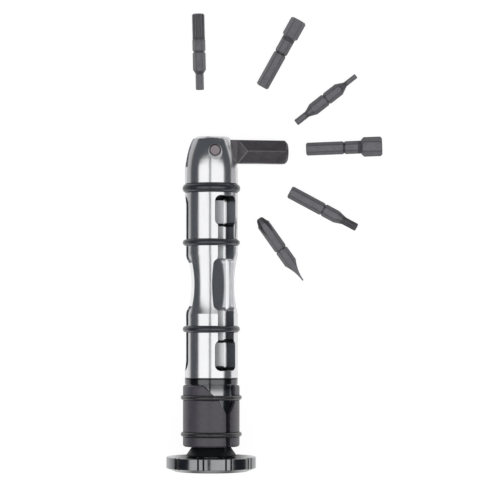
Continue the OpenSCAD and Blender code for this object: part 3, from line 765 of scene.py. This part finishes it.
def finish_cuts(mesh):
    """Gives the floors, walls and rounds of the barrel's channels their own finishes; the walls are painted dark
    as shade, and the walls and rounds carry painted shade at the pocket ends.

    The scoops stay polished. The floors are shaded as slightly hollow, and one side of each scoop as flared,
    as a round cutter leaves them."""
    floor, wall, rounding = (add_finish(mesh, finish) for finish in (CUT_FLOOR, CUT_WALL_PAINTED_SHADE, CUT_ROUND))
    normals = [TURN_TO_UPRIGHT @ corner.vector for corner in mesh.corner_normals]
    for face, spot, normal in upright_faces(mesh):
        if not in_channel_length(spot, normal):
            continue
        for out, across in CHANNELS:
            height = spot.dot(out)
            outward = normal.dot(out)
            if height < CUTS_FROM or abs(spot.dot(across)) > CHANNEL_HALF_W:
                continue
            if SCOOP_ENDS[0] < spot.z < SCOOP_ENDS[1]:
                if normal.dot(across) > SCOOP_SIDE_ACROSS and abs(outward) < SCOOP_SIDE_OUTWARD:
                    for loop in face.loop_indices:
                        normals[loop] = (normals[loop] + out * SCOOP_FLARE).normalized()
                continue
            if outward > FLOOR_OUTWARD and height < FLOORS_TO:
                face.material_index = floor
            # The walls take the finish painted dark as shade.
            elif abs(outward) < WALL_OUTWARD and spot.xy.length < WALLS_TO:
                face.material_index = wall
            elif outward > ROUND_OUTWARD and height < ROUNDS_TO:
                face.material_index = rounding
            if outward > HOLLOW_OUTWARD and height < ROUNDS_TO:
                hollow = UPPER_HOLLOW if spot.z > SCOOP_ENDS[1] else LOWER_HOLLOW
                for loop in face.loop_indices:
                    corner = BENCH_TO_UPRIGHT @ mesh.vertices[mesh.loops[loop].vertex_index].co
                    lean = hollow * corner.dot(across) / HOLLOW_HALF_W
                    normals[loop] = (normals[loop] - across * (lean * normals[loop].dot(out))).normalized()
    mesh.normals_split_custom_set([TURN_TO_BENCH @ normal for normal in normals])


finish_cuts(PIECES["handle_barrel"].data)

SEAT_RADIUS = 3.2 * MM
SEAT_FROM = 4.0 * MM
SEAT_LEAN = (0.6, 0.8)


def paint_seat_light_and_shade(mesh):
    """Gives the countersinks of the pin, cones near both ends of its axis, their painted highlight and painted
    shade.
    """
    seat = add_finish(mesh, COUNTERSINK_PAINTED_LIGHT_AND_SHADE)
    for face, spot, normal in upright_faces(mesh):
        off_axis = math.hypot(spot.x, spot.z - PIVOT_LEVEL)
        near_end = off_axis < SEAT_RADIUS and abs(spot.y) > SEAT_FROM
        if near_end and SEAT_LEAN[0] < abs(normal.y) < SEAT_LEAN[1]:
            face.material_index = seat


paint_seat_light_and_shade(PIECES["handle_barrel"].data)

GROOVE_RADII = (14.6 * MM, 15.34 * MM)
GROOVE_ALONG = 0.5


def paint_groove_shade(mesh):
    """Paints shade into the grip grooves in the knob's rim, whose faces point across the tool."""
    groove = add_finish(mesh, GROOVE_PAINTED_SHADE)
    for face, spot, normal in upright_faces(mesh):
        if GROOVE_RADII[0] < spot.xy.length < GROOVE_RADII[1] and abs(normal.z) < GROOVE_ALONG:
            face.material_index = groove


paint_groove_shade(PIECES["knob"].data)

# How far the sides of the flutes lean towards the tip
FLUTE_LEAN = (0.09, 0.23)


def paint_flute_shade(mesh):
    """Paints shade into the flutes of the cross point."""
    flute = add_finish(mesh, CROSS_FLUTE_PAINTED_SHADE)
    to_tip = BIT_LIES["bit_cross_and_blade"].to_3x3() @ Vector((0, 0, -1))
    for face in mesh.polygons:
        if FLUTE_LEAN[0] < face.normal.dot(to_tip) < FLUTE_LEAN[1]:
            face.material_index = flute


paint_flute_shade(PIECES["bit_cross_and_blade"].data)

# Level, direction towards the middle of the pocket, and radius of the round at each pocket end
POCKET_ENDS = (
    (CHANNEL_ENDS[1], -1, 1.5 * MM),
    (84.3 * MM, 1, 0.85 * MM),
    (44.9 * MM, -1, 0.85 * MM),
    (CHANNEL_ENDS[0], 1, 1.5 * MM),
)
ROUND_SUNK = 0.1 * MM
ROUND_STEPS = 10


def pocket_rounds():
    """Hollow rounds between the floor and the end walls of the two pockets, sunk a little into both."""
    shape = bmesh.new()
    out, across = CHANNELS[0]
    turns = [step * math.pi / 2 / ROUND_STEPS for step in range(ROUND_STEPS + 1)]
    for level, inward, radius in POCKET_ENDS:
        outline = [(-ROUND_SUNK, -ROUND_SUNK), (radius, -ROUND_SUNK)]
        outline += [(radius * (1 - math.sin(turn)), radius * (1 - math.cos(turn))) for turn in turns]
        outline.append((-ROUND_SUNK, radius))
        rows = [[], []]
        for row, side in zip(rows, (-POCKET_HALF_W, POCKET_HALF_W)):
            for run, rise in outline:
                along = Vector((0, 0, level + inward * run))
                row.append(shape.verts.new(across * side + out * (POCKET_FLOOR + rise) + along))
        count = len(outline)
        for corner in range(count):
            following = (corner + 1) % count
            face = shape.faces.new((rows[0][corner], rows[0][following], rows[1][following], rows[1][corner]))
            # The arc runs from the third point to the last but one.
            face.smooth = 2 <= corner < count - 2
        for row in rows:
            shape.faces.new(row)
    bmesh.ops.recalc_face_normals(shape, faces=shape.faces)
    mesh = bpy.data.meshes.new("pocket_rounds")
    shape.to_mesh(mesh)
    shape.free()
    mesh.transform(UPRIGHT_TO_BENCH)
    # The rounds take the walls' finish, painted dark as shade, with painted shade at the pocket ends.
    mesh.materials.append(CUT_WALL_PAINTED_SHADE)
    return mesh


rounds = bpy.data.objects.new("pocket_rounds", pocket_rounds())
bpy.context.collection.objects.link(rounds)
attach(rounds, BODY_OF["handle_barrel"])


def ring_tree():
    """Geometry tree of a rubber ring: a round section with a fine parting line, swept round a circle."""
    tree = bpy.data.node_groups.new("rubber ring", "GeometryNodeTree")
    sockets = {}
    for name, kind in (("Ring Radius", "NodeSocketFloat"), ("Section Radius", "NodeSocketFloat"),
                       ("Parting Height", "NodeSocketFloat"), ("Parting Width", "NodeSocketFloat"),
                       ("Steps Round", "NodeSocketInt"), ("Steps Across", "NodeSocketInt"),
                       ("Rubber", "NodeSocketMaterial")):
        sockets[name] = tree.interface.new_socket(name, in_out="INPUT", socket_type=kind).identifier
    tree.interface.new_socket("Ring", in_out="OUTPUT", socket_type="NodeSocketGeometry")
    given = add(tree, "NodeGroupInput").outputs
    path = add(tree, "GeometryNodeCurvePrimitiveCircle", {
        "Resolution": given["Steps Round"], "Radius": given["Ring Radius"],
    }).outputs["Curve"]
    section = add(tree, "GeometryNodeCurvePrimitiveCircle", {
        "Resolution": given["Steps Across"], "Radius": given["Section Radius"],
    }).outputs["Curve"]
    place = add(tree, "GeometryNodeInputPosition").outputs["Position"]
    off_line = combined(tree, "ABSOLUTE", axis_value(tree, place, "Y"))
    rise = spread(tree, off_line, 0.0, given["Parting Width"], given["Parting Height"], 0.0, "SMOOTHSTEP")
    outward = add(tree, "ShaderNodeVectorMath", {0: place}, operation="NORMALIZE").outputs["Vector"]
    lift = add(tree, "ShaderNodeVectorMath", {0: outward, "Scale": rise}, operation="SCALE").outputs["Vector"]
    marked = add(tree, "GeometryNodeSetPosition", {"Geometry": section, "Offset": lift}).outputs["Geometry"]
    swept = add(tree, "GeometryNodeCurveToMesh", {"Curve": path, "Profile Curve": marked}).outputs["Mesh"]
    smooth = add(tree, "GeometryNodeSetShadeSmooth", {"Geometry": swept}).outputs["Geometry"]
    real = add(tree, "GeometryNodeRealizeInstances", {"Geometry": smooth}).outputs["Geometry"]
    done = add(tree, "GeometryNodeSetMaterial", {"Geometry": real, "Material": given["Rubber"]})
    tree.links.new(done.outputs["Geometry"], add(tree, "NodeGroupOutput").inputs["Ring"])
    return tree, sockets


RING_TREE, RING_SOCKETS = ring_tree()
PARTING_HEIGHT = 0.035 * MM
PARTING_WIDTH = 0.1 * MM


def rubber_ring(node):
    """The mesh of a rubber ring, as large as its CAD node and in its place."""
    spots = [BENCH_TO_UPRIGHT @ vertex.co for vertex in nodes[node].data.vertices]
    low = min(spot.z for spot in spots)
    high = max(spot.z for spot in spots)
    outer = max(spot.xy.length for spot in spots)
    section = (high - low) / 2
    piece = bpy.data.objects.new(node + " rough", bpy.data.meshes.new(node + " rough"))
    bpy.context.collection.objects.link(piece)
    sweep = piece.modifiers.new("sweep", "NODES")
    sweep.node_group = RING_TREE
    values = {
        "Ring Radius": outer - section,
        "Section Radius": section - PARTING_HEIGHT,
        "Parting Height": PARTING_HEIGHT,
        "Parting Width": PARTING_WIDTH,
        "Steps Round": 160,
        "Steps Across": 64,
        "Rubber": finish_of(node),
    }
    for name, value in values.items():
        sweep[RING_SOCKETS[name]] = value
    mesh = evaluated_mesh(piece)
    mesh.transform(UPRIGHT_TO_BENCH @ Matrix.Translation((0, 0, (low + high) / 2)))
    return mesh


for node in ("head_ring", "upper_bit_ring", "lower_bit_ring", "upper_sleeve_ring", "lower_sleeve_ring"):
    PIECES[node] = stand_in(node + "_rubber", rubber_ring(node), node)

for name, node in nodes.items():
    if name not in PIECES:
        node.data.materials.clear()
        node.data.materials.append(finish_of(name))


# Floor, lights and camera

WHITE = (1.0, 1.0, 1.0, 1.0)
BLACK = (0.0, 0.0, 0.0, 1.0)


def shining(name, **sockets):
    """A new material that shines white and has no gloss."""
    return new_finish(name, Specular_IOR_Level=0.0, Emission_Color=WHITE, **sockets)


def card(name, low, high, level):
    """A level rectangle on the stage."""
    mesh = bpy.data.meshes.new(name)
    (x0, y0), (x1, y1) = low, high
    corners = [(x0, y0, level), (x1, y0, level), (x1, y1, level), (x0, y1, level)]
    mesh.from_pydata(corners, [], [(0, 1, 2, 3)])
    made = bpy.data.objects.new(name, mesh)
    bpy.context.collection.objects.link(made)
    return made


def inside(tree, low, high, fades):
    """One inside a rectangle, falling to nought over a width at its left, right, near and far edges."""
    place = add(tree, "ShaderNodeSeparateXYZ", {"Vector": bench_coords(tree)}).outputs
    left, right, near, far = fades
    amount = faded(tree, place["X"], low[0], low[0] + left)
    amount = times(tree, amount, faded(tree, place["X"], high[0], high[0] - right))
    amount = times(tree, amount, faded(tree, place["Y"], low[1], low[1] + near))
    return times(tree, amount, faded(tree, place["Y"], high[1], high[1] - far))


def glow(made, low, high, fades, radiance, least=0.0, shades=()):
    """Makes a card shine evenly inside a rectangle, less in shaded rectangles, and least outside it.

    A shade has its corners and fades, and the share of light that it leaves."""
    material, tree, shader = shining(made.name, Base_Color=BLACK)
    amount = inside(tree, low, high, fades)
    for shade_low, shade_high, shade_fades, left in shades:
        kept = spread(tree, inside(tree, shade_low, shade_high, shade_fades), 0.0, 1.0, 1.0, left)
        amount = times(tree, amount, kept)
    wire(tree, shader, Emission_Strength=spread(tree, amount, 0.0, 1.0, least, radiance))
    made.data.materials.append(material)


def white_paper():
    """Paper, lit through from below so that it stays white."""
    material, tree, shader = shining("white paper", Roughness=0.9, Emission_Strength=0.92)
    fibre = noise(tree, bench_coords(tree), scale=900.0)
    wire(tree, shader, Base_Color=blended(tree, fibre, (0.2, 0.2, 0.2), (0.22, 0.22, 0.22)))
    return material


floor = card("pale floor", (-4.0, -4.0), (4.0, 4.0), level=-0.1 * MM)
floor.data.materials.append(white_paper())
floor.visible_glossy = False


def pale_wall(radius, top, steps):
    """Round wall of paper behind the floor, for low views; it doesn't light the set or show in the metal."""
    turns = [2 * math.pi * step / steps for step in range(steps)]
    corners = [(radius * math.cos(turn), radius * math.sin(turn), level)
               for level in (-0.01, top) for turn in turns]
    faces = [(step, (step + 1) % steps, steps + (step + 1) % steps, steps + step) for step in range(steps)]
    mesh = bpy.data.meshes.new("pale wall")
    mesh.from_pydata(corners, [], faces)
    material, tree, shader = shining("paper wall", Base_Color=BLACK)
    level = axis_value(tree, bench_coords(tree), "Z")
    wire(tree, shader, Emission_Strength=spread(tree, level, 0.0, top, 0.95, 0.8))
    mesh.materials.append(material)
    wall = bpy.data.objects.new("pale wall", mesh)
    bpy.context.collection.objects.link(wall)
    wall.visible_diffuse = False
    wall.visible_glossy = False
    wall.visible_transmission = False
    wall.visible_shadow = False


pale_wall(radius=3.9, top=3.0, steps=96)

mirror_floor = card("floor seen in the metal", (-0.4, -0.4), (0.4, 0.4), level=-0.2 * MM)
glow(mirror_floor, (-0.15, -0.21), (0.16, 0.19), (0.105, 0.1, 0.1, 0.1), radiance=0.9, least=0.06, shades=(
    ((-0.038, -0.09), (-0.006, 0.045), (0.008, 0.008, 0.01, 0.01), 0.2),
    ((-0.037, -0.11), (-0.007, -0.075), (0.006, 0.006, 0.008, 0.004), 0.2),
    ((-0.15, -0.04), (-0.036, 0.1), (0.01, 0.012, 0.06, 0.06), 0.5),
    ((-0.008, -0.04), (0.16, 0.1), (0.012, 0.01, 0.06, 0.06), 0.5),
))
mirror_floor.visible_camera = False
mirror_floor.visible_diffuse = False
mirror_floor.visible_shadow = False

# Two soft boxes over the bench, with a dark gap between them
GAP_MIDDLE = -0.062
GAP_HALF = 0.024
SOFT_LEVEL = 0.5
SOFT_LOW = (-0.88, -0.48)
SOFT_HIGH = (0.88, 0.355)
for name, low, high, fades in (
    ("left soft box", SOFT_LOW, (GAP_MIDDLE - GAP_HALF, SOFT_HIGH[1]), (0.22, 0.012, 0.2, 0.19)),
    ("right soft box", (GAP_MIDDLE + GAP_HALF, SOFT_LOW[1]), SOFT_HIGH, (0.012, 0.22, 0.2, 0.19)),
):
    box = card(name, low, high, SOFT_LEVEL)
    glow(box, low, high, fades, radiance=1.13)
    box.visible_camera = False

# Half widths at which the standing sheets end and shine fully, and the share of their height that fades
FILL_HALF_W = 1.6
FILL_FULL_HALF_W = 0.9
FILL_FADE = 0.6


def upright_card(name, y, low, high, radiance):
    """A weakly shining sheet that stands across the stage, left out of the camera's own view."""
    made = card(name, (-FILL_HALF_W, low), (FILL_HALF_W, high), level=0.0)
    made.data.transform(Matrix.Translation((0, y, 0)) @ Matrix.Rotation(math.pi / 2, 4, "X"))
    material, tree, shader = shining(name, Base_Color=BLACK)
    place = add(tree, "ShaderNodeSeparateXYZ", {"Vector": bench_coords(tree)}).outputs
    across = faded(tree, combined(tree, "ABSOLUTE", place["X"]), FILL_HALF_W, FILL_FULL_HALF_W)
    upward = faded(tree, place["Z"], high, high - FILL_FADE * (high - low))
    wire(tree, shader, Emission_Strength=times(tree, times(tree, across, upward), radiance))
    made.data.materials.append(material)
    made.visible_camera = False


upright_card("near fill", y=-1.3, low=0.03, high=0.75, radiance=0.5)
upright_card("far fill", y=1.5, low=0.03, high=0.32, radiance=0.8)

scene = bpy.context.scene
world = bpy.data.worlds.new("studio")
world.use_nodes = True
world.node_tree.nodes["Background"].inputs["Color"].default_value = (0.040, 0.046, 0.056, 1.0)
scene.world = world
scene.view_settings.view_transform = "Standard"
scene.view_settings.look = "None"

camera = bpy.data.objects.new("camera", bpy.data.cameras.new("camera"))
camera.data.sensor_width = 36.0
camera.data.lens = 162.64
camera.data.clip_start = 0.01
camera.location = (-0.00866, 0.01944, 0.790)
camera.rotation_euler = (-0.02827, 0.0, 0.0)
bpy.context.collection.objects.link(camera)
scene.camera = camera
